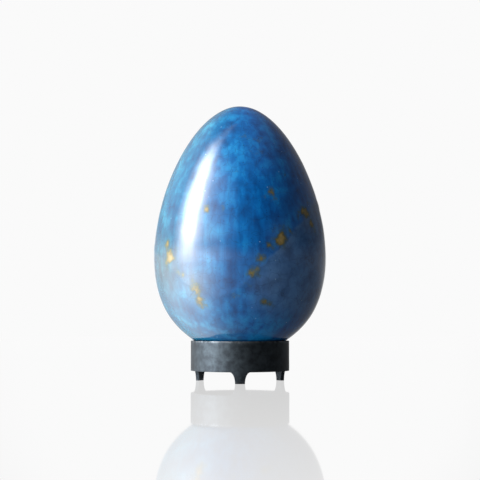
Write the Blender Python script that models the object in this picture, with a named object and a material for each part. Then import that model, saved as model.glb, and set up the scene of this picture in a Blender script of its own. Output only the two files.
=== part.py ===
"""Glazed faience egg resting in a blackened steel ring stand with three short feet.

The egg stands blunt end down on the rounded inner edge of the ring. The ring is one band of flat bar, rolled and
welded to a circle, with flat arches cut out of its lower edge so that three flared feet are left.

All lengths are in metres. +Z is up, the feet stand on Z = 0, the egg's axis is the Z axis, and one foot points to -Y,
which is the front.
"""

import math

import bmesh
import bpy

# Egg
EGG_HEIGHT = 0.336
EGG_DIAMETER = 0.2345
EGG_TAPER = 0.458  # 0 gives the same curve at both ends, and more gives a blunter lower end and a slimmer top
EGG_FULLNESS = 0.165  # 0 gives an ellipsoid's curve, and more gives fuller shoulders towards both ends
EGG_SEGMENTS = 72
EGG_RINGS_BELOW_SEAT = 6
EGG_RINGS_ABOVE_SEAT = 29

# Ring stand
RING_OUTER_DIAMETER = 0.133
RING_WALL = 0.005
BAND_HEIGHT = 0.040
EDGE_ROUND = 0.0012  # radius on both upper edges of the band
EDGE_STEPS = 3

# Feet, left standing between the arches
FOOT_COUNT = 3
FOOT_HEIGHT = 0.015
FOOT_SOLE_WIDTH = 0.013
FOOT_ROOT_WIDTH = 0.027
FRONT_FOOT_ANGLE = math.radians(-90.0)
SOLE_STEPS = 2
FLARE_STEPS = 5
ARCH_STEPS = 18

# The egg only rests on the ring, so the two meshes keep this gap
SEAT_CLEARANCE = 0.0003
SEAT_SAMPLES = 2000
SEAT_HALVINGS = 40
WIDEST_SAMPLES = 4000

SMOOTH_ANGLE = math.radians(35.0)

# Worked out from the sizes above
RING_OUTER_RADIUS = RING_OUTER_DIAMETER / 2
RING_INNER_RADIUS = RING_OUTER_RADIUS - RING_WALL
RING_TOP = FOOT_HEIGHT + BAND_HEIGHT


def bulge(level: float) -> float:
    """Return the egg's radius, but for a constant factor, at a level from -1, its blunt end, to 1, its tip."""
    return math.sqrt(max(0.0, (1 - level**2) * (1 - EGG_TAPER * level) * (1 + EGG_FULLNESS * level**2)))


# The level where the egg is widest, found among evenly spaced ones
WIDEST_LEVEL = max((2 * step / WIDEST_SAMPLES - 1 for step in range(WIDEST_SAMPLES + 1)), key=bulge)


def egg_radius(level: float) -> float:
    """Return the egg's radius at a level between -1, its blunt end, and 1, its tip."""
    return EGG_DIAMETER / 2 * bulge(level) / bulge(WIDEST_LEVEL)


def egg_height_at(level: float, base: float) -> float:
    """Return the height above the table of a level of the egg whose lowest point is at base."""
    return base + (level + 1) * EGG_HEIGHT / 2


def seat_gap(base: float) -> tuple[float, float]:
    """Measure the gap between the egg and the rounded inner edge of the ring.

    Args:
        base: The height of the egg's lowest point.

    Returns:
        The gap, negative where the egg cuts the ring, and the level on the egg that is nearest to the edge.
    """
    edge_radius = RING_INNER_RADIUS + EDGE_ROUND
    edge_height = RING_TOP - EDGE_ROUND
    lower_part = WIDEST_LEVEL + 1
    nearest = math.inf
    nearest_level = -1.0
    for index in range(SEAT_SAMPLES + 1):
        level = -1 + lower_part * index / SEAT_SAMPLES
        across = egg_radius(level) - edge_radius
        up = egg_height_at(level, base) - edge_height
        distance = math.hypot(across, up)
        if distance < nearest:
            nearest = distance
            nearest_level = level
    edge_level = 2 * (edge_height - base) / EGG_HEIGHT - 1
    covered = edge_level > WIDEST_LEVEL or (edge_level > -1 and egg_radius(edge_level) > edge_radius)
    if covered:
        nearest = -nearest
    return nearest - EDGE_ROUND, nearest_level


def seat_the_egg() -> tuple[float, float]:
    """Lower the egg until only the seat clearance is left.

    Returns:
        The height of the egg's lowest point, and the level on the egg where it meets the ring.
    """
    low = RING_TOP - EGG_HEIGHT / 2
    high = RING_TOP + EDGE_ROUND
    for _ in range(SEAT_HALVINGS):
        middle = (low + high) / 2
        if seat_gap(middle)[0] < SEAT_CLEARANCE:
            low = middle
        else:
            high = middle
    return high, seat_gap(high)[1]


def around(radius: float, angle: float, height: float) -> tuple[float, float, float]:
    """Return the point at a radius, an angle and a height about the egg's axis."""
    return radius * math.cos(angle), radius * math.sin(angle), height


def egg_mesh() -> bmesh.types.BMesh:
    """Build the closed egg as rings of points between its two ends, with one ring just where it meets the stand."""
    base, seat_level = seat_the_egg()
    seat_turn = math.acos(-seat_level)
    turns = []
    for index in range(1, EGG_RINGS_BELOW_SEAT + 1):
        turns.append(seat_turn * index / EGG_RINGS_BELOW_SEAT)
    for index in range(1, EGG_RINGS_ABOVE_SEAT):
        turns.append(seat_turn + (math.pi - seat_turn) * index / EGG_RINGS_ABOVE_SEAT)

    mesh = bmesh.new()
    rings = []
    for turn in turns:
        level = -math.cos(turn)
        height = egg_height_at(level, base)
        ring = []
        for step in range(EGG_SEGMENTS):
            angle = FRONT_FOOT_ANGLE + 2 * math.pi * step / EGG_SEGMENTS
            ring.append(mesh.verts.new(around(egg_radius(level), angle, height)))
        rings.append(ring)
    bottom = mesh.verts.new((0, 0, base))
    tip = mesh.verts.new((0, 0, base + EGG_HEIGHT))
    for step in range(EGG_SEGMENTS):
        following = (step + 1) % EGG_SEGMENTS
        mesh.faces.new((bottom, rings[0][following], rings[0][step]))
        mesh.faces.new((tip, rings[-1][step], rings[-1][following]))
        for lower, upper in zip(rings, rings[1:]):
            mesh.faces.new((lower[step], lower[following], upper[following], upper[step]))
    return mesh


def band_stations() -> list[tuple[float, float]]:
    """Return the angle and the height of the band's lower edge at each station round the ring.

    Each foot has a flat sole, then a quarter of an ellipse on either side that leaves the sole upright and runs into
    the flat arch between two feet.
    """
    pitch = 2 * math.pi / FOOT_COUNT
    sole_half = FOOT_SOLE_WIDTH / 2 / RING_OUTER_RADIUS
    root_half = FOOT_ROOT_WIDTH / 2 / RING_OUTER_RADIUS
    flare = root_half - sole_half
    rising = []
    for step in range(1, FLARE_STEPS + 1):
        turn = math.pi / 2 * step / FLARE_STEPS
        rising.append((sole_half + flare * (1 - math.cos(turn)), FOOT_HEIGHT * math.sin(turn)))

    stations = []
    for foot in range(FOOT_COUNT):
        centre = FRONT_FOOT_ANGLE + pitch * foot
        for step in range(SOLE_STEPS + 1):
            stations.append((centre - sole_half + 2 * sole_half * step / SOLE_STEPS, 0.0))
        for offset, height in rising:
            stations.append((centre + offset, height))
        for step in range(1, ARCH_STEPS):
            stations.append((centre + root_half + (pitch - 2 * root_half) * step / ARCH_STEPS, FOOT_HEIGHT))
        for offset, height in reversed(rising):
            stations.append((centre + pitch - offset, height))
    return stations


def band_section(lower_edge: float) -> list[tuple[float, float]]:
    """Return the band's section as radii and heights, up its outer face, over its rounded top and down inside."""
    section = [(RING_OUTER_RADIUS, lower_edge)]
    for step in range(EDGE_STEPS + 1):
        turn = math.pi / 2 * step / EDGE_STEPS
        inwards = EDGE_ROUND * (1 - math.cos(turn))
        section.append((RING_OUTER_RADIUS - inwards, RING_TOP - EDGE_ROUND + EDGE_ROUND * math.sin(turn)))
    for step in range(EDGE_STEPS, -1, -1):
        turn = math.pi / 2 * step / EDGE_STEPS
        inwards = EDGE_ROUND * (1 - math.cos(turn))
        section.append((RING_INNER_RADIUS + inwards, RING_TOP - EDGE_ROUND + EDGE_ROUND * math.sin(turn)))
    section.append((RING_INNER_RADIUS, lower_edge))
    return section


def stand_mesh() -> bmesh.types.BMesh:
    """Build the ring and its feet as one closed band, a section at each station."""
    mesh = bmesh.new()
    sections = []
    for angle, lower_edge in band_stations():
        sections.append([mesh.verts.new(around(radius, angle, height)) for radius, height in band_section(lower_edge)])
    for index, section in enumerate(sections):
        following = sections[(index + 1) % len(sections)]
        for corner in range(len(section)):
            onward = (corner + 1) % len(section)
            mesh.faces.new((section[corner], following[corner], following[onward], section[onward]))
    return mesh


def finish_material(name: str, colour: tuple[float, float, float], roughness: float, metallic: float) -> bpy.types.Material:
    """Return a Principled material with a base colour, a roughness and a metallic value."""
    material = bpy.data.materials.new(name)
    material.use_nodes = True
    shader = material.node_tree.nodes["Principled BSDF"]
    shader.inputs["Base Color"].default_value = (*colour, 1.0)
    shader.inputs["Roughness"].default_value = roughness
    shader.inputs["Metallic"].default_value = metallic
    return material


def add_piece(name: str, shape: bmesh.types.BMesh, material: bpy.types.Material) -> bpy.types.Object:
    """Turn a built shape into a named, smooth-shaded object of the scene."""
    bmesh.ops.recalc_face_normals(shape, faces=shape.faces[:])
    mesh = bpy.data.meshes.new(name)
    shape.to_mesh(mesh)
    shape.free()
    mesh.shade_smooth()
    mesh.set_sharp_from_angle(angle=SMOOTH_ANGLE)
    mesh.materials.append(material)
    piece = bpy.data.objects.new(name, mesh)
    bpy.context.scene.collection.objects.link(piece)
    return piece


def main() -> None:
    """Clear the scene and build the egg and its stand."""
    for leftover in list(bpy.data.objects):
        bpy.data.objects.remove(leftover)
    glaze = finish_material("blue_glaze", (0.045, 0.20, 0.55), 0.12, 0.0)
    steel = finish_material("blackened_steel", (0.045, 0.047, 0.05), 0.35, 1.0)
    add_piece("egg", egg_mesh(), glaze)
    add_piece("stand", stand_mesh(), steel)


main()
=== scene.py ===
"""Looks of a glazed faience egg that rests in a blackened steel ring stand with three short feet.

The frame holds the two CAD solids, the egg and the stand. Each is replaced here by a fine mesh of the same
form: the egg with the slight unevenness of a fired glaze, and the stand with rounded edges, a hand-dressed
face and the ground weld where its bar was closed to a ring. A white table, a white backdrop and a tall light
on the left make the studio.

Lengths are in metres unless a name says otherwise. The front foot points to -Y, where the camera stands.
The angles round the egg are 0 at the front and grow to the right.
"""

from __future__ import annotations

import logging
import math
from collections.abc import Sequence
from dataclasses import dataclass, field
from enum import Enum

import bpy
import numpy as np
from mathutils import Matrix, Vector, noise


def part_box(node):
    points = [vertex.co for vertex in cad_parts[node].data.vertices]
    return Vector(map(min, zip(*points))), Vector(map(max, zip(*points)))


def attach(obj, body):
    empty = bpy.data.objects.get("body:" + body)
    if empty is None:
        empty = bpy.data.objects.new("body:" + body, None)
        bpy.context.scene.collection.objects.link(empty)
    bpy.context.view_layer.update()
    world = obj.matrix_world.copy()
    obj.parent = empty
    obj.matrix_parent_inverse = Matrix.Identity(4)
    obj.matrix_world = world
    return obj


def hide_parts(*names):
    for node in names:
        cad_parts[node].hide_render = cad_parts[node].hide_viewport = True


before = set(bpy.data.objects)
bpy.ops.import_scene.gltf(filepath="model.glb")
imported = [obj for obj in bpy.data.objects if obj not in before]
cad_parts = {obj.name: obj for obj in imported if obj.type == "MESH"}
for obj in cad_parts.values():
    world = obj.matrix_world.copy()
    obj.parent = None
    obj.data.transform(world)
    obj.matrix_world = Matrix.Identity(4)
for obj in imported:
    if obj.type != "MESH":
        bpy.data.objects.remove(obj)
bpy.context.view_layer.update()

MM = 0.001
FRONT_ANGLE = math.radians(-90.0)

# Numbers of a colour Mix node's two colours and of its result
UNDER = 6
OVER = 7
MIXED = 2

# How far a seed shifts a noise along X, Y and Z
SEED_SHIFT = (1.0, 1.7, 2.3)

# The band's attribute that says where its steel is rubbed
RUBBED = "rubbed_edge"

Colour = tuple[float, float, float, float]
Stops = list[tuple[float, Colour]]
Inputs = dict[int | str, object]
Tree = bpy.types.NodeTree
Socket = bpy.types.NodeSocket

WHITE: Colour = (1.0, 1.0, 1.0, 1.0)

log = logging.getLogger("faience_egg")


class Slot(Enum):
    """The record's material slots."""

    GLAZE = "blue_glaze"
    STEEL = "blackened_steel"


class GlazeMap(Enum):
    """What the glaze reads from the egg's points."""

    ABOVE_POUR_MM = "above_pour_line_mm"
    SLATE = "slate_share"
    AZURE = "azure_share"
    THINNESS = "thinness"
    OCHRE = "ochre_share"
    VEIL = "ochre_veil"
    BARE_CLAY = "bare_clay"


def srgb(code: str) -> Colour:
    """Turn an sRGB hex colour into linear values.

    Args:
        code: Six hex digits after a hash, such as "#2b353f".

    Returns:
        Linear red, green and blue, and an alpha of 1.
    """
    parts = [int(code[at:at + 2], 16) / 255 for at in (1, 3, 5)]
    linear = [part / 12.92 if part <= 0.04045 else ((part + 0.055) / 1.055) ** 2.4 for part in parts]
    return linear[0], linear[1], linear[2], 1.0


def per_metre(size_mm: float) -> float:
    """Return how many grains of a size in millimetres lie in a metre, which is a pattern's scale."""
    return 1 / (size_mm * MM)


def add_node(
    tree: Tree,
    kind: str,
    inputs: Inputs | None = None,
    output: int | str = 0,
    stops: Stops | None = None,
    **settings: object,
) -> Socket:
    """Add a node to a tree, with its settings, its values and the links into it.

    Args:
        tree: The node tree that gets the node.
        kind: The node's type name without the "ShaderNode" that it starts with.
        inputs: Names or numbers of inputs, each with the socket that feeds it or a plain value.
        output: The name or number of the output that is wanted.
        stops: For a colour ramp, its places from 0 to 1 with their colours.
        **settings: Properties of the node itself, such as operation="ADD".

    Returns:
        The wanted output's socket.
    """
    node = tree.nodes.new("ShaderNode" + kind)
    for name, value in settings.items():
        setattr(node, name, value)
    for name, value in (inputs or {}).items():
        if isinstance(value, Socket):
            tree.links.new(value, node.inputs[name])
        else:
            node.inputs[name].default_value = value
    if stops:
        elements = node.color_ramp.elements
        while len(elements) < len(stops):
            elements.new(1.0)
        for element, (spot, colour) in zip(elements, stops):
            element.position = spot
            element.color = colour
    return node.outputs[output]


def greys(shares: Sequence[tuple[float, float]], span: float) -> Stops:
    """Turn angles about 0 and their shares into the stops of a grey ramp over a span of angles."""
    return [(angle / span + 0.5, (share, share, share, 1.0)) for angle, share in shares]


def grey_by_angle(tree: Tree, x: Socket, y: Socket, shares: Sequence[tuple[float, float]]) -> Socket:
    """Lay a grey round the object by the angle from the camera's side.

    Args:
        tree: The node tree.
        x: The X of the direction or the place.
        y: The Y of the direction or the place.
        shares: Angles in degrees to the right with their greys.

    Returns:
        The grey's socket.
    """
    towards = add_node(tree, "Math", {0: y, 1: -1.0}, operation="MULTIPLY")
    angle = add_node(tree, "Math", {0: x, 1: towards}, operation="ARCTAN2")
    share = add_node(tree, "Math", {0: angle, 1: 1 / (2 * math.pi), 2: 0.5}, operation="MULTIPLY_ADD")
    return add_node(tree, "ValToRGB", {0: share}, stops=greys(shares, 360.0))


def new_material(name: str) -> tuple[bpy.types.Material, Tree, bpy.types.Node]:
    """Make a material with an untouched Principled shader.

    Args:
        name: The material's name.

    Returns:
        The material, its node tree and its Principled shader.
    """
    material = bpy.data.materials.new(name)
    material.use_nodes = True
    return material, material.node_tree, material.node_tree.nodes["Principled BSDF"]


def mesh_object(name: str, points: np.ndarray, faces: list[tuple[int, ...]]) -> bpy.types.Object:
    """Make a smooth-shaded mesh object.

    Args:
        name: The object's name.
        points: The vertices, one row each.
        faces: The vertex numbers of each face.

    Returns:
        The new object, linked to the scene.
    """
    mesh = bpy.data.meshes.new(name)
    mesh.from_pydata(points.tolist(), [], faces)
    mesh.validate()
    mesh.shade_smooth()
    piece = bpy.data.objects.new(name, mesh)
    bpy.context.scene.collection.objects.link(piece)
    return piece


def write_values(piece: bpy.types.Object, name: str, values: np.ndarray) -> None:
    """Store one number for each vertex as a named attribute that the material reads."""
    attribute = piece.data.attributes.new(name, "FLOAT", "POINT")
    attribute.data.foreach_set("value", values.astype(np.float32))


def smooth_noise(points: np.ndarray, cell: float, seed: float) -> np.ndarray:
    """Sample a smooth noise between about -1 and 1.

    Args:
        points: The places, one row each.
        cell: The size of the noise's cells.
        seed: A number that shifts the pattern.

    Returns:
        One value for each place.
    """
    shift = Vector([seed * share for share in SEED_SHIFT])
    return np.array([noise.noise(Vector(point) / cell + shift) for point in points])


@dataclass(frozen=True)
class Clouding:
    """A cloudy pattern, by the size of its clouds in millimetres, its finer layers and its seed."""

    size_mm: float
    layers: float
    seed: float


@dataclass(frozen=True)
class FaienceGlaze:
    """Tin-glazed earthenware under two poured coloured glazes, fired to a gloss.

    The upper glaze is cobalt that breaks to azure on the left and pales where it ran thin. The second one
    was poured over the lower part of the right side, up to a wavy line, and fired to a slate navy. Where the
    two met, and in a few pools beside, iron broke through in ochre that thins to olive. The eye gets a deep
    clear blue under a hard shine, clouded like stone, with drawn-out runs, a net of crazing and a few
    pinholes.

    The hex colours are those of the fired glaze in even white light. Real crazing is about 0.1 mm wide, too
    fine to show, so its lines are drawn wider. Real pinholes and specks are drawn a little coarser too.
    """

    cobalt: str = "#03356c"
    bright_cobalt: str = "#035092"
    pale_cobalt: str = "#0e72b2"
    petrol: str = "#033857"
    azure: str = "#064e67"
    pale_azure: str = "#1f6f83"
    slate: str = "#3a699d"
    deep_slate: str = "#204b7c"
    olive: str = "#33473f"
    ochre: str = "#5d5430"
    gold: str = "#85734a"
    crack: str = "#0a1a2c"
    dark_speck: str = "#041528"
    pale_speck: str = "#8fb4cf"
    biscuit: str = "#c9b18c"
    wiped_biscuit: str = "#b59a76"

    ior: float = 1.6
    roughness: float = 0.05
    roughness_spread: float = 0.04
    bare_roughness: float = 0.75
    gloss_patch_mm: float = 18.0

    clouds: Clouding = Clouding(26.0, 5.0, 1.3)
    slate_clouds: Clouding = Clouding(14.3, 6.0, 5.9)
    pour_waves: Clouding = Clouding(30.0, 3.0, 3.1)
    pour_fray: Clouding = Clouding(6.0, 3.0, 7.4)
    ochre_patches: Clouding = Clouding(15.0, 8.0, 9.2)
    ripple: Clouding = Clouding(9.0, 2.0, 4.2)
    layer_strength: float = 0.55

    # Steps are the values of a pattern at which each of a row of colours is reached
    cloud_steps: tuple[float, float, float] = (0.36, 0.52, 0.68)
    slate_steps: tuple[float, float] = (0.35, 0.62)
    ochre_steps: tuple[float, float, float] = (0.0, 0.35, 1.0)

    run_width_mm: float = 7.0
    run_length_mm: float = 60.0
    run_layers: float = 4.0
    run_share: float = 0.32
    wave_height_mm: float = 26.0
    fray_height_mm: float = 7.0
    edge_softness_mm: float = 3.5

    # A fade is the pair of values between which something goes from nothing to its full strength
    ochre_push: float = 0.34
    ochre_fade: tuple[float, float] = (0.62, 0.82)
    ochre_heart_fade: tuple[float, float] = (0.70, 1.0)

    crazing_mm: float = 13.0
    crazing_line_mm: float = 0.32
    crazing_core: float = 0.3
    crazing_strength: float = 0.30
    crazing_depth: float = 0.15
    crazing_bend_mm: float = 9.0
    crazing_bend_layers: float = 2.0
    crazing_bend: tuple[float, float, float] = (0.004, 0.004, 0.004)

    # The shares are those of the pattern's cells that hold a dark or a pale speck
    speck_mm: float = 5.0
    speck_fade: tuple[float, float] = (0.16, 0.08)
    dark_share: float = 0.28
    dark_strength: float = 0.7
    pale_share: float = 0.05
    pale_strength: float = 0.6

    clay_grain_mm: float = 0.9
    clay_grain_height: float = 2.0
    pinhole_mm: float = 11.0
    pinhole_fade: tuple[float, float] = (0.05, 0.02)
    pinhole_depth: float = 1.2
    relief: float = 0.00012
    relief_strength: float = 0.35

    def build(self) -> bpy.types.Material:
        """Make the glaze's material, which reads the maps that the egg stores for its points.

        Returns:
            The material.
        """
        material, tree, shader = new_material("tin_glazed_faience_poured_blue")
        place = add_node(tree, "TexCoord", output="Object")
        maps = {}
        for each in GlazeMap:
            maps[each] = add_node(tree, "Attribute", output="Fac", attribute_name=each.value)
        bare = maps[GlazeMap.BARE_CLAY]
        clouds = self._draw_clouds(tree, place)

        blue = self._upper_glaze(tree, place, maps, clouds[self.clouds])
        slates = list(zip(self.slate_steps, (srgb(self.deep_slate), srgb(self.slate))))
        navy = add_node(tree, "ValToRGB", {0: clouds[self.slate_clouds]}, stops=slates)
        below = self._below_pour_line(tree, maps, clouds)
        body = add_node(tree, "Mix", {0: below, UNDER: blue, OVER: navy}, MIXED, data_type="RGBA")
        tint = {0: maps[GlazeMap.VEIL], UNDER: body, OVER: srgb(self.ochre)}
        body = add_node(tree, "Mix", tint, MIXED, data_type="RGBA")
        body = self._ochre(tree, maps[GlazeMap.OCHRE], clouds[self.ochre_patches], body)
        body, crack = self._crazing(tree, place, body)
        body = self._specks(tree, place, body)
        grit = add_node(tree, "TexNoise", {"Vector": place, "Scale": per_metre(self.clay_grain_mm)})
        clays = {0: grit, UNDER: srgb(self.biscuit), OVER: srgb(self.wiped_biscuit)}
        clay = add_node(tree, "Mix", clays, MIXED, data_type="RGBA")
        surface = add_node(tree, "Mix", {0: bare, UNDER: body, OVER: clay}, MIXED, data_type="RGBA")
        tree.links.new(surface, shader.inputs["Base Color"])

        uneven = add_node(tree, "TexNoise", {"Vector": place, "Scale": per_metre(self.gloss_patch_mm)})
        fired = {0: uneven, 1: self.roughness_spread, 2: self.roughness}
        gloss = add_node(tree, "Math", fired, operation="MULTIPLY_ADD")
        matt = {0: bare, 1: self.bare_roughness, 2: gloss}
        rough = add_node(tree, "Math", matt, operation="MULTIPLY_ADD", use_clamp=True)
        tree.links.new(rough, shader.inputs["Roughness"])
        shader.inputs["IOR"].default_value = self.ior
        grainy = add_node(tree, "Math", {0: bare, 1: self.clay_grain_height}, operation="MULTIPLY")
        raised = {0: grit, 1: grainy, 2: clouds[self.ripple]}
        height = add_node(tree, "Math", raised, operation="MULTIPLY_ADD")
        tree.links.new(self._relief(tree, place, crack, height), shader.inputs["Normal"])
        return material

    def _draw_clouds(self, tree: Tree, place: Socket) -> dict[Clouding, Socket]:
        """Draw the cloudy patterns of the glazes, the pour line, the ochre and the surface.

        Args:
            tree: The node tree.
            place: The place on the egg.

        Returns:
            The value of each pattern.
        """
        drawn = {}
        glazes = (self.clouds, self.slate_clouds)
        edges = (self.pour_waves, self.pour_fray)
        for each in (*glazes, *edges, self.ochre_patches, self.ripple):
            scale = per_metre(each.size_mm)
            pattern = {"Vector": place, "W": each.seed, "Scale": scale, "Detail": each.layers}
            pattern["Roughness"] = self.layer_strength
            drawn[each] = add_node(tree, "TexNoise", pattern, noise_dimensions="4D")
        return drawn

    def _upper_glaze(self, tree: Tree, place: Socket, maps: dict[GlazeMap, Socket], cloud: Socket) -> Socket:
        """Colour the upper glaze in clouds and in runs drawn down by the firing.

        Args:
            tree: The node tree.
            place: The place on the egg.
            maps: The egg's maps, of which this reads the share of azure and the thinness.
            cloud: The value of the clouds.

        Returns:
            The colour's socket.
        """
        stretch = [per_metre(size) for size in (self.run_width_mm, self.run_width_mm, self.run_length_mm)]
        drawn = add_node(tree, "VectorMath", {0: place, 1: stretch}, operation="MULTIPLY")
        runs = add_node(tree, "TexNoise", {"Vector": drawn, "Scale": 1.0, "Detail": self.run_layers})
        thinning = {0: runs, 1: self.run_share, 2: maps[GlazeMap.THINNESS]}
        thinned = add_node(tree, "Math", thinning, operation="MULTIPLY_ADD")
        mixing = {0: cloud, 1: 1 - self.run_share, 2: thinned}
        mixed = add_node(tree, "Math", mixing, operation="MULTIPLY_ADD")
        cobalts = [srgb(code) for code in (self.cobalt, self.bright_cobalt, self.pale_cobalt)]
        azures = [srgb(code) for code in (self.petrol, self.azure, self.pale_azure)]
        blue = add_node(tree, "ValToRGB", {0: mixed}, stops=list(zip(self.cloud_steps, cobalts)))
        green = add_node(tree, "ValToRGB", {0: mixed}, stops=list(zip(self.cloud_steps, azures)))
        shares = {0: maps[GlazeMap.AZURE], UNDER: blue, OVER: green}
        return add_node(tree, "Mix", shares, MIXED, data_type="RGBA")

    def _below_pour_line(
        self, tree: Tree, maps: dict[GlazeMap, Socket], clouds: dict[Clouding, Socket]
    ) -> Socket:
        """Find where the poured glaze covers, up to the uneven edge that it dries to.

        Args:
            tree: The node tree.
            maps: The egg's maps, of which this reads the height above the pour line and the share of slate.
            clouds: The values of the cloudy patterns.

        Returns:
            The share's socket.
        """
        line = maps[GlazeMap.ABOVE_POUR_MM]
        wave = (clouds[self.pour_waves], self.wave_height_mm)
        fray = (clouds[self.pour_fray], self.fray_height_mm)
        for uneven, height in (wave, fray):
            line = add_node(tree, "Math", {0: uneven, 1: height, 2: line}, operation="MULTIPLY_ADD")
            line = add_node(tree, "Math", {0: line, 1: height / 2}, operation="SUBTRACT")
        limits = {"Value": line, "From Min": self.edge_softness_mm, "From Max": -self.edge_softness_mm}
        covered = add_node(tree, "MapRange", limits, interpolation_type="SMOOTHSTEP")
        shares = {0: covered, 1: maps[GlazeMap.SLATE]}
        return add_node(tree, "Math", shares, operation="MULTIPLY", use_clamp=True)

    def _ochre(self, tree: Tree, share: Socket, spread: Socket, body: Socket) -> Socket:
        """Lay the iron ochre in patches that are gold at their heart and thin to olive.

        Args:
            tree: The node tree.
            share: How likely the ochre is at each point.
            spread: The value of the pattern that breaks it into patches.
            body: The colour under it.

        Returns:
            The colour with the ochre.
        """
        pushed = {0: share, 1: self.ochre_push, 2: spread}
        value = add_node(tree, "Math", pushed, operation="MULTIPLY_ADD")
        start, full = self.ochre_heart_fade
        inner = {"Value": value, "From Min": start, "From Max": full}
        heart = add_node(tree, "MapRange", inner, interpolation_type="SMOOTHSTEP")
        ochres = [srgb(code) for code in (self.olive, self.ochre, self.gold)]
        patch = add_node(tree, "ValToRGB", {0: heart}, stops=list(zip(self.ochre_steps, ochres)))
        start, full = self.ochre_fade
        outer = {"Value": value, "From Min": start, "From Max": full}
        cover = add_node(tree, "MapRange", outer, interpolation_type="SMOOTHSTEP")
        return add_node(tree, "Mix", {0: cover, UNDER: body, OVER: patch}, MIXED, data_type="RGBA")

    def _crazing(self, tree: Tree, place: Socket, body: Socket) -> tuple[Socket, Socket]:
        """Draw the net of crazing.

        Args:
            tree: The node tree.
            place: The place on the egg.
            body: The colour under it.

        Returns:
            The colour with the crazing, and the share of crack at each point.
        """
        scale = per_metre(self.crazing_bend_mm)
        bends = {"Vector": place, "Scale": scale, "Detail": self.crazing_bend_layers}
        bend = add_node(tree, "TexNoise", bends, "Color")
        bending = {0: bend, 1: self.crazing_bend, 2: place}
        bent = add_node(tree, "VectorMath", bending, operation="MULTIPLY_ADD")
        cells = {"Vector": bent, "Scale": per_metre(self.crazing_mm)}
        edge = add_node(tree, "TexVoronoi", cells, "Distance", feature="DISTANCE_TO_EDGE")
        width = self.crazing_line_mm / self.crazing_mm
        limits = {"Value": edge, "From Min": width, "From Max": width * self.crazing_core}
        crack = add_node(tree, "MapRange", limits, interpolation_type="SMOOTHSTEP")
        faint = add_node(tree, "Math", {0: crack, 1: self.crazing_strength}, operation="MULTIPLY")
        lines = {0: faint, UNDER: body, OVER: srgb(self.crack)}
        return add_node(tree, "Mix", lines, MIXED, data_type="RGBA"), crack

    def _specks(self, tree: Tree, place: Socket, body: Socket) -> Socket:
        """Scatter small dark cobalt specks and a few pale ones.

        Args:
            tree: The node tree.
            place: The place on the egg.
            body: The colour under them.

        Returns:
            The colour with the specks.
        """
        cells = {"Vector": place, "Scale": per_metre(self.speck_mm)}
        away = add_node(tree, "TexVoronoi", cells, "Distance")
        start, full = self.speck_fade
        limits = {"Value": away, "From Min": start, "From Max": full}
        dot = add_node(tree, "MapRange", limits, interpolation_type="SMOOTHSTEP")
        pick = add_node(tree, "SeparateColor", {0: away.node.outputs["Color"]})
        dark = add_node(tree, "Math", {0: pick, 1: 1 - self.dark_share}, operation="GREATER_THAN")
        pale = add_node(tree, "Math", {0: pick, 1: self.pale_share}, operation="LESS_THAN")
        kinds = (
            (dark, self.dark_strength, self.dark_speck),
            (pale, self.pale_strength, self.pale_speck),
        )
        for chosen, strength, colour in kinds:
            share = add_node(tree, "Math", {0: dot, 1: chosen}, operation="MULTIPLY")
            share = add_node(tree, "Math", {0: share, 1: strength}, operation="MULTIPLY")
            specked = {0: share, UNDER: body, OVER: srgb(colour)}
            body = add_node(tree, "Mix", specked, MIXED, data_type="RGBA")
        return body

    def _relief(self, tree: Tree, place: Socket, crack: Socket, height: Socket) -> Socket:
        """Sink the pinholes and the crazing into the surface and bend its normal by the whole relief.

        Args:
            tree: The node tree.
            place: The place on the egg.
            crack: The share of crack at each point.
            height: The height of the rippled glaze and of the bare clay's grain.

        Returns:
            The normal's socket.
        """
        cells = {"Vector": place, "Scale": per_metre(self.pinhole_mm)}
        pits = add_node(tree, "TexVoronoi", cells, "Distance")
        start, full = self.pinhole_fade
        limits = {"Value": pits, "From Min": start, "From Max": full}
        hole = add_node(tree, "MapRange", limits, interpolation_type="SMOOTHSTEP")
        for sunk, depth in ((hole, self.pinhole_depth), (crack, self.crazing_depth)):
            height = add_node(tree, "Math", {0: sunk, 1: -depth, 2: height}, operation="MULTIPLY_ADD")
        bump = {"Strength": self.relief_strength, "Distance": self.relief, "Height": height}
        return add_node(tree, "Bump", bump)


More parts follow.
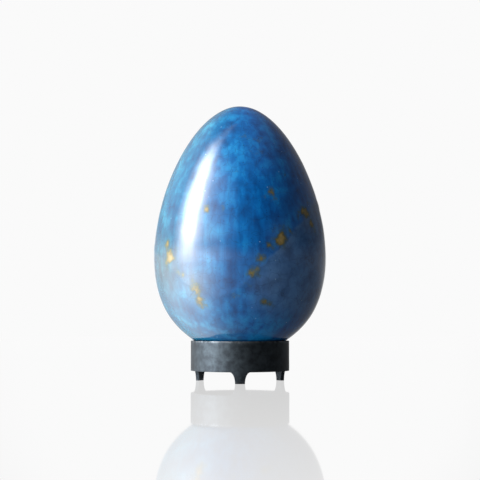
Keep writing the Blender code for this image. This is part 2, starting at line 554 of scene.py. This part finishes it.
@dataclass(frozen=True)
class BlackenedSteel:
    """Hot-rolled flat bar, blackened and oiled.

    The eye gets a nearly black metal with a soft shine, clouded by the mill scale that is left on it, with
    paler steel where the edges and the weld have been rubbed. The grain of the rolling is about 0.1 mm on
    the real thing, too fine to show, and is drawn coarser so that it still breaks up the shine.
    """

    dark: str = "#2e3338"
    scale: str = "#40484e"
    rubbed: str = "#6d7278"
    roughness: float = 0.40
    roughness_spread: float = 0.20
    scale_mm: float = 9.0
    scale_layers: float = 6.0
    scale_layer_strength: float = 0.6
    scale_steps: tuple[float, float] = (0.38, 0.66)
    rub_fade: tuple[float, float] = (0.35, 0.6)
    scale_height: float = 0.8
    grain_mm: float = 0.7
    grain_height: float = 0.2
    relief: float = 0.0002
    relief_strength: float = 0.4

    def build(self) -> bpy.types.Material:
        """Make the steel's material, which reads the share of rubbed steel that the band stores.

        Returns:
            The material.
        """
        material, tree, shader = new_material("hot_rolled_steel_oil_blackened")
        place = add_node(tree, "TexCoord", output="Object")
        worn = add_node(tree, "Attribute", output="Fac", attribute_name=RUBBED)
        clouds = {"Vector": place, "Scale": per_metre(self.scale_mm), "Detail": self.scale_layers}
        clouds["Roughness"] = self.scale_layer_strength
        cloud = add_node(tree, "TexNoise", clouds)
        steels = [srgb(self.dark), srgb(self.scale)]
        body = add_node(tree, "ValToRGB", {0: cloud}, stops=list(zip(self.scale_steps, steels)))
        start, full = self.rub_fade
        limits = {"Value": cloud, "From Min": start, "From Max": full}
        broken = add_node(tree, "MapRange", limits, interpolation_type="SMOOTHSTEP")
        bright = add_node(tree, "Math", {0: worn, 1: broken}, operation="MULTIPLY")
        edges = {0: bright, UNDER: body, OVER: srgb(self.rubbed)}
        worn_body = add_node(tree, "Mix", edges, MIXED, data_type="RGBA")
        tree.links.new(worn_body, shader.inputs["Base Color"])
        shader.inputs["Metallic"].default_value = 1.0
        satin = {0: cloud, 1: self.roughness_spread, 2: self.roughness}
        rough = add_node(tree, "Math", satin, operation="MULTIPLY_ADD", use_clamp=True)
        tree.links.new(rough, shader.inputs["Roughness"])
        grain = add_node(tree, "TexNoise", {"Vector": place, "Scale": per_metre(self.grain_mm)})
        rolled = add_node(tree, "Math", {0: grain, 1: self.grain_height}, operation="MULTIPLY")
        raised = {0: cloud, 1: self.scale_height, 2: rolled}
        height = add_node(tree, "Math", raised, operation="MULTIPLY_ADD")
        bump = {"Strength": self.relief_strength, "Distance": self.relief, "Height": height}
        tree.links.new(add_node(tree, "Bump", bump), shader.inputs["Normal"])
        return material


@dataclass(frozen=True)
class Spot:
    """A soft round spot on the egg: its angle in degrees, its height above the table, size and strength."""

    angle: float
    height_mm: float
    size_mm: float
    strength: float = 1.0

    def reach(self, points: np.ndarray, turn: np.ndarray) -> np.ndarray:
        """Return how strong the spot is at each point.

        Args:
            points: The egg's points, one row each.
            turn: The angle of each point in radians.

        Returns:
            One value for each point.
        """
        along = (np.degrees(turn) - self.angle + 180) % 360 - 180
        across = np.radians(along) * np.hypot(points[:, 0], points[:, 1]) / MM
        rise = points[:, 2] / MM - self.height_mm
        return self.strength * np.exp(-(across**2 + rise**2) / self.size_mm**2)


def strongest(spots: Sequence[Spot], points: np.ndarray, turn: np.ndarray) -> np.ndarray:
    """Return how strong the strongest of some spots is at each point."""
    return np.maximum.reduce([spot.reach(points, turn) for spot in spots])


@dataclass
class EggBody:
    """The thrown and glazed egg, which stands blunt end down in the ring.

    The pour line gives the upper edge of the slate glaze as angles with heights in millimetres. The pools,
    the veils and the thin places say where the ochre breaks through, where it only tints the blue, and
    where the cobalt is pale. The back carries the same glazes with fewer pools.

    The unevenness only takes away from the CAD solid. At the height of the ring's upper edge it fades to an
    even seat, which keeps the egg just clear of the band.
    """

    taper: float = 0.458
    fullness: float = 0.165
    profile_samples: int = 4001
    segments: int = 360
    rings: int = 250

    # The unevenness of the thrown form, of its glaze and of the poured glaze's rolled edge
    wobble: float = 0.0004
    wobble_cell: float = 0.110
    wobble_seed: float = 2.2
    skin_depth: float = 0.0003
    skin_cell: float = 0.022
    skin_seed: float = 6.1
    pour_roll: float = 0.00035
    pour_roll_width_mm: float = 5.0
    pour_roll_drop_mm: float = 2.0
    inward_share: float = 0.85
    seat_reach: float = 0.005
    seat_room: float = 0.00008

    # The disc of bare clay under the egg
    bare_radius: float = 0.030
    bare_fray_mm: float = 1.2
    bare_fray_cell: float = 0.008
    bare_fray_seed: float = 4.4
    bare_fray_stretch: tuple[float, float, float] = (1.0, 1.0, 0.2)

    # Where the slate glaze fades in, upwards and round to the right, and the line that it was poured up to
    slate_start: float = 0.074
    slate_rise: float = 0.030
    slate_turn: float = math.radians(4)
    slate_lead: float = 0.05
    slate_fade: float = 0.35
    line_smoothing: int = 31
    line_ochre: float = 0.2
    line_ochre_mm: float = 9.0

    pour_line: tuple[tuple[float, float], ...] = (
        (-168, 214), (-150, 186), (-135, 204), (-116, 178), (-98, 192), (-80, 178), (-60, 165),
        (-40, 135), (-20, 110), (0, 122), (12, 148), (33, 190), (52, 222), (72, 250), (90, 232),
        (104, 250), (122, 218), (136, 236), (152, 202), (170, 212),
    )
    azure_around: tuple[tuple[float, float], ...] = (
        (-170, 0.15), (-130, 0.45), (-95, 0.80), (-70, 0.95), (-50, 0.86), (-30, 0.63), (0, 0.22),
        (18, 0.0), (140, 0.0),
    )
    pools: tuple[Spot, ...] = (
        Spot(27, 185, 15, 1.05), Spot(21, 176, 9, 0.9), Spot(34, 197, 8, 0.8), Spot(14, 160, 9, 0.8),
        Spot(9, 142, 12), Spot(5, 126, 8, 0.8), Spot(17, 106, 9, 0.85), Spot(42, 213, 8, 0.8),
        Spot(50, 224, 12), Spot(56, 208, 9, 0.9), Spot(22, 249, 7, 0.9), Spot(-50, 163, 16, 0.88),
        Spot(-46, 148, 10, 0.85), Spot(-33, 126, 12, 0.9), Spot(-40, 138, 9, 0.8), Spot(-28, 108, 9, 0.75),
        Spot(-23, 222, 6, 0.8), Spot(-56, 182, 9, 0.85), Spot(94, 236, 12), Spot(118, 226, 12),
        Spot(150, 206, 13), Spot(-176, 210, 9, 0.9), Spot(-150, 190, 13), Spot(-114, 182, 12),
    )
    veils: tuple[Spot, ...] = (
        Spot(-60, 150, 48, 0.36), Spot(-32, 130, 30, 0.26), Spot(18, 136, 28, 0.17),
        Spot(29, 184, 20, 0.24), Spot(52, 218, 20, 0.18), Spot(150, 215, 40, 0.20),
        Spot(-150, 195, 40, 0.20), Spot(-22, 188, 24, 0.13), Spot(-6, 62, 22, 0.12),
        Spot(-38, 157, 20, 0.10),
    )
    thin_places: tuple[Spot, ...] = (
        Spot(27, 65, 25, 0.20), Spot(-20, 64, 18, 0.08), Spot(-5, 202, 28, 0.07), Spot(0, 305, 24, 0.05),
        Spot(-120, 70, 22, 0.10),
    )

    low: Vector = field(default_factory=lambda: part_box("egg")[0])
    high: Vector = field(default_factory=lambda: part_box("egg")[1])
    seat_height: float = field(default_factory=lambda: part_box("stand")[1].z)

    @property
    def half_height(self) -> float:
        """Half of the egg's height."""
        return (self.high.z - self.low.z) / 2

    @property
    def radius(self) -> float:
        """The egg's radius where it is widest."""
        return (self.high.x - self.low.x) / 2

    def profile(self, level: np.ndarray) -> np.ndarray:
        """Return the radius at levels between -1, the blunt end, and 1, the tip."""
        widest = self._bulge(np.linspace(-1, 1, self.profile_samples)).max()
        return self.radius * self._bulge(level) / widest

    def _bulge(self, level: np.ndarray) -> np.ndarray:
        """Return the radius at each level but for a constant factor."""
        square = (1 - level**2) * (1 - self.taper * level) * (1 + self.fullness * level**2)
        return np.sqrt(np.clip(square, 0, None))

    def pour_height(self, turn: np.ndarray) -> np.ndarray:
        """Return the height of the pour line above the table, with its corners smoothed away.

        Args:
            turn: The angle of each point in radians.

        Returns:
            The height of the line at each angle.
        """
        fine = np.arange(360.0)
        angles = [angle for angle, _ in self.pour_line]
        heights = [height for _, height in self.pour_line]
        line = np.interp(fine, angles, heights, period=360)
        window = np.hanning(self.line_smoothing)
        window = window / window.sum()
        side = self.line_smoothing // 2
        line = np.convolve(np.concatenate([line[-side:], line, line[:side]]), window, "valid")
        return np.interp(np.degrees(turn), fine, line, period=360) * MM

    def build(self) -> bpy.types.Object:
        """Build the egg's mesh and store what the glaze reads from it.

        Returns:
            The egg, riding on the root body in place of its CAD solid.
        """
        levels = -np.cos(np.pi * np.arange(1, self.rings) / self.rings)
        angles = 2 * np.pi * np.arange(self.segments) / self.segments
        level_grid, angle_grid = np.meshgrid(levels, angles, indexing="ij")
        radius = self.profile(level_grid)
        height = self.low.z + (level_grid + 1) * self.half_height
        points = np.stack([radius * np.sin(angle_grid), -radius * np.cos(angle_grid), height], -1)
        points = np.concatenate([points.reshape(-1, 3), [[0, 0, self.low.z], [0, 0, self.high.z]]])
        turn = np.arctan2(points[:, 0], -points[:, 1])
        above = (points[:, 2] - self.pour_height(turn)) / MM
        points = self._fired(points, above)
        piece = mesh_object("egg_body", points, self._faces())
        for each, values in self._maps(points, turn, above).items():
            write_values(piece, each.value, values)
        piece.data.materials.append(FaienceGlaze().build())
        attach(piece, "root")
        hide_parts("egg")
        return piece

    def _faces(self) -> list[tuple[int, ...]]:
        """Join the rings of points to each other and to the two end points.

        Returns:
            The vertex numbers of each face.
        """
        count = self.segments
        last = (self.rings - 2) * count
        bottom = (self.rings - 1) * count
        faces = []
        for step in range(count):
            following = (step + 1) % count
            faces.append((bottom, following, step))
            faces.append((bottom + 1, last + step, last + following))
        for ring in range(self.rings - 2):
            start = ring * count
            for step in range(count):
                following = (step + 1) % count
                above = (start + count + following, start + count + step)
                faces.append((start + step, start + following, *above))
        return faces

    def _fired(self, points: np.ndarray, above: np.ndarray) -> np.ndarray:
        """Give the form its handmade unevenness, inwards from the CAD solid, and an even seat at the ring.

        Args:
            points: The even form's points, one row each.
            above: The height of each point above the pour line in millimetres.

        Returns:
            The moved points.
        """
        slow = smooth_noise(points, self.wobble_cell, self.wobble_seed)
        skin = smooth_noise(points, self.skin_cell, self.skin_seed)
        roll = np.exp(-(((above + self.pour_roll_drop_mm) / self.pour_roll_width_mm) ** 2))
        depth = self.wobble * (0.5 - 0.5 * slow) + self.skin_depth * (0.5 - 0.5 * skin)
        depth += self.pour_roll * (1 - roll)
        seat = np.exp(-(((points[:, 2] - self.seat_height) / self.seat_reach) ** 2))
        depth = depth * (1 - seat) + self.seat_room * seat
        centre = np.array([0.0, 0.0, self.low.z + self.half_height * self.inward_share])
        outwards = points - centre
        outwards /= np.linalg.norm(outwards, axis=1, keepdims=True)
        return points - outwards * depth[:, None]

    def _maps(
        self, points: np.ndarray, turn: np.ndarray, above: np.ndarray
    ) -> dict[GlazeMap, np.ndarray]:
        """Work out what the glaze reads at each point.

        Args:
            points: The egg's points, one row each.
            turn: The angle of each point in radians.
            above: The height of each point above the pour line in millimetres.

        Returns:
            One value for each point, by map.
        """
        along_line = self.line_ochre * np.exp(-((above / self.line_ochre_mm) ** 2))
        angles = [angle for angle, _ in self.azure_around]
        shares = [share for _, share in self.azure_around]
        return {
            GlazeMap.ABOVE_POUR_MM: above,
            GlazeMap.SLATE: self._slate_share(points, turn),
            GlazeMap.AZURE: np.interp(np.degrees(turn), angles, shares, period=360),
            GlazeMap.THINNESS: strongest(self.thin_places, points, turn),
            GlazeMap.OCHRE: np.maximum(along_line, strongest(self.pools, points, turn)),
            GlazeMap.VEIL: strongest(self.veils, points, turn),
            GlazeMap.BARE_CLAY: self._bare_clay(points),
        }

    def _slate_share(self, points: np.ndarray, turn: np.ndarray) -> np.ndarray:
        """Find how fully the poured glaze covers: thick on the right, thinning behind and low down.

        Args:
            points: The egg's points, one row each.
            turn: The angle of each point in radians.

        Returns:
            One share for each point.
        """
        side = np.clip((np.sin(turn - self.slate_turn) + self.slate_lead) / self.slate_fade, 0, 1)
        low = np.clip((points[:, 2] - self.slate_start) / self.slate_rise, 0, 1)
        return side * low

    def _bare_clay(self, points: np.ndarray) -> np.ndarray:
        """Find where the glaze was wiped off under the egg, inside the ring, with an uneven edge.

        Args:
            points: The egg's points, one row each.

        Returns:
            One share of bare clay for each point.
        """
        across = np.hypot(points[:, 0], points[:, 1])
        stretched = points * np.array(self.bare_fray_stretch)
        fray = smooth_noise(stretched, self.bare_fray_cell, self.bare_fray_seed)
        inside = (self.bare_radius - across) / MM + self.bare_fray_mm * fray
        below = points[:, 2] < self.low.z + self.half_height / 2
        return np.where(below, np.clip(inside, 0, 1), 0.0)


@dataclass
class StandBand:
    """The ring stand: one bar rolled to a ring, with arches cut out below that leave three flared feet."""

    wall: float = 0.005
    foot_height: float = 0.015
    sole_width: float = 0.013
    root_width: float = 0.027
    foot_count: int = 3
    edge_round: float = 0.0010
    edge_steps: int = 3
    edge_angle: float = math.radians(32.0)
    rows: int = 14
    arch_steps: int = 96
    flare_steps: int = 8
    sole_steps: int = 6
    wall_steps: int = 3
    weld_angle: float = math.radians(78.0)
    weld_width: float = 0.0035
    weld_depth: float = 0.00012
    weld_rub: float = 0.9
    dressing: float = 0.00018
    dressing_cell: float = 0.009
    dressing_seed: float = 8.8
    top_rub: float = 0.8
    top_rub_mm: float = 0.9
    sole_rub: float = 0.6
    sole_rub_mm: float = 0.8
    low: Vector = field(default_factory=lambda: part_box("stand")[0])
    high: Vector = field(default_factory=lambda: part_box("stand")[1])

    @property
    def outer(self) -> float:
        """The band's outer radius, which its front foot reaches."""
        return -self.low.y

    @property
    def inner(self) -> float:
        """The band's inner radius."""
        return self.outer - self.wall

    def stations(self) -> list[tuple[float, float]]:
        """Follow the band's lower edge, down over each foot and along each arch.

        Returns:
            The angle and the height of the lower edge at each station round the ring.
        """
        pitch = 2 * math.pi / self.foot_count
        sole = self.sole_width / 2 / self.outer
        root = self.root_width / 2 / self.outer
        rising = []
        for step in range(1, self.flare_steps + 1):
            turn = math.pi / 2 * step / self.flare_steps
            outwards = (root - sole) * (1 - math.cos(turn))
            rising.append((sole + outwards, self.foot_height * math.sin(turn)))
        found = []
        for foot in range(self.foot_count):
            centre = FRONT_ANGLE + pitch * foot
            for step in range(self.sole_steps + 1):
                found.append((centre - sole + 2 * sole * step / self.sole_steps, 0.0))
            found += [(centre + offset, height) for offset, height in rising]
            for step in range(1, self.arch_steps):
                along = (pitch - 2 * root) * step / self.arch_steps
                found.append((centre + root + along, self.foot_height))
            found += [(centre + pitch - offset, height) for offset, height in reversed(rising)]
        return found

    def section(self, lower: float) -> list[tuple[float, float]]:
        """Follow the band's section, up outside, over the top, down inside and back below.

        Args:
            lower: The height of the lower edge.

        Returns:
            Radii and heights round the section.
        """
        top = self.high.z
        found = [(self.outer, lower + (top - lower) * row / self.rows) for row in range(self.rows + 1)]
        across = [self.wall * step / self.wall_steps for step in range(1, self.wall_steps)]
        found += [(self.outer - step, top) for step in across]
        found += [(self.inner, top + (lower - top) * row / self.rows) for row in range(self.rows + 1)]
        found += [(self.inner + step, lower) for step in across]
        return found

    def build(self) -> bpy.types.Object:
        """Build the band, round its edges, dress its faces and store where it is rubbed.

        Returns:
            The band, riding on the root body in place of its CAD solid.
        """
        stations = self.stations()
        points = []
        for angle, lower in stations:
            points += [(r * math.cos(angle), r * math.sin(angle), z) for r, z in self.section(lower)]
        size = len(points) // len(stations)
        faces = []
        for index in range(len(stations)):
            start = index * size
            following = (index + 1) % len(stations) * size
            for corner in range(size):
                onward = (corner + 1) % size
                faces.append((start + corner, following + corner, following + onward, start + onward))
        piece = mesh_object("stand_band", np.array(points), faces)
        self._round_edges(piece)
        self._dress(piece)
        piece.data.materials.append(BlackenedSteel().build())
        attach(piece, "root")
        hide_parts("stand")
        return piece

    def _round_edges(self, piece: bpy.types.Object) -> None:
        """Round every sharp edge with a bevel and keep the rounded mesh.

        Args:
            piece: The band with sharp edges.
        """
        bevel = piece.modifiers.new("rounded_edges", "BEVEL")
        bevel.width = self.edge_round
        bevel.segments = self.edge_steps
        bevel.limit_method = "ANGLE"
        bevel.angle_limit = self.edge_angle
        bevel.use_clamp_overlap = True
        graph = bpy.context.evaluated_depsgraph_get()
        rounded = bpy.data.meshes.new_from_object(piece.evaluated_get(graph))
        piece.modifiers.clear()
        piece.data = rounded

    def _dress(self, piece: bpy.types.Object) -> None:
        """Press small smooth dents into the faces, grind the weld a little hollow and store what is bright.

        Args:
            piece: The band with rounded edges.
        """
        count = len(piece.data.vertices)
        points = np.empty(count * 3)
        piece.data.vertices.foreach_get("co", points)
        points = points.reshape(-1, 3)
        angle = np.arctan2(points[:, 1], points[:, 0])
        from_middle = np.hypot(points[:, 0], points[:, 1]) - (self.outer - self.wall / 2)
        side = np.clip(from_middle / (self.wall / 2), -1, 1)
        dent = 0.5 + 0.5 * smooth_noise(points, self.dressing_cell, self.dressing_seed)
        weld = np.exp(-(((angle - self.weld_angle) * self.outer / self.weld_width) ** 2))
        outwards = np.stack([np.cos(angle), np.sin(angle), np.zeros(count)], -1)
        points -= outwards * ((self.dressing * dent + self.weld_depth * weld) * side)[:, None]
        piece.data.vertices.foreach_set("co", points.ravel())
        piece.data.update()
        top_edge = np.exp(-(((self.high.z - points[:, 2]) / (self.top_rub_mm * MM)) ** 2))
        sole_edge = np.exp(-((points[:, 2] / (self.sole_rub_mm * MM)) ** 2))
        rubbed = self.top_rub * top_edge + self.sole_rub * sole_edge + self.weld_rub * weld
        write_values(piece, RUBBED, np.clip(rubbed, 0, 1))


@dataclass(frozen=True)
class AcrylicSheet:
    """Cast white acrylic, polished and lit from the left.

    The camera sees one even white with a faint mirror image in it. What the sheet throws on the object is
    its own painted glow, in place of the left light bounced off it: bright from the left, dim from the
    right, with painted shade close round the stand, by angles in degrees that are 0 at the camera's side and
    grow to the right.
    """

    white: float = 0.956
    ior: float = 1.5
    gloss: float = 0.45
    roughness: float = 0.03
    glow: float = 6.0
    shade: float = 0.12
    shade_reach: float = 0.19
    around: tuple[tuple[float, float], ...] = (
        (-180, 0.05), (-150, 0.10), (-130, 0.20), (-115, 0.40), (-95, 0.75), (-78, 0.98), (-60, 1.0),
        (-45, 0.80), (-30, 0.42), (-20, 0.24), (-11, 0.13), (7, 0.035), (25, 0.012), (45, 0.005),
        (120, 0.010), (180, 0.05),
    )

    def build(self) -> bpy.types.Material:
        """Make the sheet's material.

        Returns:
            The material.
        """
        material, tree, shader = new_material("cast_white_acrylic_painted_glow")
        tree.nodes.remove(shader)
        place = add_node(tree, "TexCoord", output="Object")
        x = add_node(tree, "SeparateXYZ", {0: place}, "X")
        # Painted light: the glow that rays other than the camera's see, bright from the left, with a painted
        # shadow close round the stand
        spill = grey_by_angle(tree, x, x.node.outputs["Y"], self.around)
        away = add_node(tree, "VectorMath", {0: place}, "Value", operation="LENGTH")
        nearness = add_node(tree, "Math", {0: away, 1: -1 / self.shade_reach}, operation="MULTIPLY")
        shadow = add_node(tree, "Math", {0: nearness}, operation="EXPONENT")
        lit = add_node(tree, "Math", {0: shadow, 1: -self.glow, 2: self.glow}, operation="MULTIPLY_ADD")
        glow = add_node(tree, "Math", {0: spill, 1: lit, 2: self.shade}, operation="MULTIPLY_ADD")
        seen = add_node(tree, "LightPath", output="Is Camera Ray")
        level = add_node(tree, "Mix", {0: seen, 2: glow, 3: self.white})
        white = add_node(tree, "Emission", {"Color": WHITE, "Strength": level})
        mirror = add_node(tree, "BsdfGlossy", {"Color": WHITE, "Roughness": self.roughness})
        fresnel = add_node(tree, "Fresnel", {"IOR": self.ior})
        share = add_node(tree, "Math", {0: fresnel, 1: self.gloss}, operation="MULTIPLY")
        mixed = add_node(tree, "MixShader", {0: share, 1: white, 2: mirror})
        tree.links.new(mixed, tree.nodes["Material Output"].inputs["Surface"])
        return material


@dataclass
class Studio:
    """White table, white backdrop and one tall soft light on the left, seen by a low camera.

    The two lists give angles in degrees with the light's share: round the object, 0 at the camera's side
    and growing to the right, and upwards from the table. A fade tells how far back or up a direction points
    where something begins and where it reaches its full strength.
    """

    sheet: AcrylicSheet = AcrylicSheet()
    key: float = 26.0
    ceiling: float = 0.245
    ceiling_fade: tuple[float, float] = (0.62, 0.92)
    horizon_fade: tuple[float, float] = (0.18, 0.0)
    backdrop_fade: tuple[float, float] = (0.945, 0.985)
    backdrop_top_fade: tuple[float, float] = (0.36, 0.18)
    table_radius: float = 4.0
    table_corners: int = 96
    camera_distance: float = 1.632
    camera_height: float = 0.082
    aim_height: float = 0.1914
    lens: float = 90.2
    light_around: tuple[tuple[float, float], ...] = (
        (-180, 0.0105), (-150, 0.03), (-125, 0.05), (-102, 0.07), (-92, 0.20), (-84, 0.60), (-78, 0.95),
        (-68, 0.95), (-60, 0.43), (-50, 0.18), (-38, 0.10), (-20, 0.035), (0, 0.005), (30, 0.001),
        (90, 0.003), (180, 0.0105),
    )
    light_upwards: tuple[tuple[float, float], ...] = (
        (-90, 0.1), (-6, 0.12), (0, 0.18), (6, 0.50), (14, 0.95), (20, 1.0), (42, 0.95), (52, 0.48),
        (58, 0.18), (66, 0.05), (90, 0.01),
    )

    def build(self) -> None:
        """Build the camera, the light and the table."""
        bpy.context.scene.view_settings.view_transform = "Standard"
        self._camera()
        self._light()
        self._table()

    def _camera(self) -> None:
        """Place the camera low in front of the egg."""
        data = bpy.data.cameras.new("camera")
        data.lens = self.lens
        camera = bpy.data.objects.new("camera", data)
        bpy.context.scene.collection.objects.link(camera)
        camera.location = (0, -self.camera_distance, self.camera_height)
        aim = Vector((0, 0, self.aim_height)) - camera.location
        camera.rotation_mode = "QUATERNION"
        camera.rotation_quaternion = aim.to_track_quat("-Z", "Y")
        bpy.context.scene.camera = camera

    def _light(self) -> None:
        """Light the scene by a world that is brightest in a tall soft patch on the left."""
        world = bpy.data.worlds.new("studio")
        bpy.context.scene.world = world
        world.use_nodes = True
        tree = world.node_tree
        tree.nodes.remove(tree.nodes["Background"])
        way = add_node(tree, "TexCoord", output="Generated")
        x = add_node(tree, "SeparateXYZ", {0: way}, "X")
        y = x.node.outputs["Y"]
        z = x.node.outputs["Z"]
        around = grey_by_angle(tree, x, y, self.light_around)
        rise = add_node(tree, "Math", {0: z}, operation="ARCSINE")
        climb = add_node(tree, "Math", {0: rise, 1: 1 / math.pi, 2: 0.5}, operation="MULTIPLY_ADD")
        upright = add_node(tree, "ValToRGB", {0: climb}, stops=greys(self.light_upwards, 180.0))
        patch = add_node(tree, "Math", {0: around, 1: upright}, operation="MULTIPLY")
        faded = {}
        fades = (
            (y, self.backdrop_fade),
            (z, self.backdrop_top_fade),
            (z, self.ceiling_fade),
            (z, self.horizon_fade),
        )
        for part, fade in fades:
            limits = {"Value": part, "From Min": fade[0], "From Max": fade[1]}
            faded[fade] = add_node(tree, "MapRange", limits, interpolation_type="SMOOTHSTEP")
        overhead = {0: faded[self.ceiling_fade], 1: self.ceiling / self.key}
        above = add_node(tree, "Math", overhead, operation="MULTIPLY")
        lit = add_node(tree, "Math", {0: patch, 1: above}, operation="ADD")
        spill = grey_by_angle(tree, x, y, self.sheet.around)
        thrown = {0: spill, 1: self.sheet.glow / self.key, 2: self.sheet.shade / self.key}
        glow = add_node(tree, "Math", thrown, operation="MULTIPLY_ADD")
        lighting = {0: glow, 1: faded[self.horizon_fade], 2: lit}
        lit = add_node(tree, "Math", lighting, operation="MULTIPLY_ADD")
        key = add_node(tree, "Background", {"Color": lit, "Strength": self.key})
        backdrop = add_node(tree, "Background", {"Color": WHITE, "Strength": self.sheet.white})
        covered = {0: faded[self.backdrop_fade], 1: faded[self.backdrop_top_fade]}
        behind = add_node(tree, "Math", covered, operation="MULTIPLY")
        surround = add_node(tree, "MixShader", {0: behind, 1: key, 2: backdrop})
        seen = add_node(tree, "LightPath", output="Is Camera Ray")
        final = add_node(tree, "MixShader", {0: seen, 1: surround, 2: backdrop})
        tree.links.new(final, tree.nodes["World Output"].inputs["Surface"])

    def _table(self) -> None:
        """Lay the glossy white table."""
        turns = 2 * np.pi * np.arange(self.table_corners) / self.table_corners
        rim = np.stack([np.sin(turns), np.cos(turns), np.zeros(self.table_corners)], -1)
        face = tuple(reversed(range(self.table_corners)))
        table = mesh_object("table", rim * self.table_radius, [face])
        table.data.materials.append(self.sheet.build())


def main() -> None:
    """Build the studio, the egg and the stand, and report each piece."""
    logging.basicConfig(level=logging.INFO, format="%(message)s")
    Studio().build()
    for maker in (EggBody(), StandBand()):
        piece = maker.build()
        mesh = piece.data
        log.info("%s: %d vertices, %d faces", piece.name, len(mesh.vertices), len(mesh.polygons))


if __name__ == "__main__":
    main()
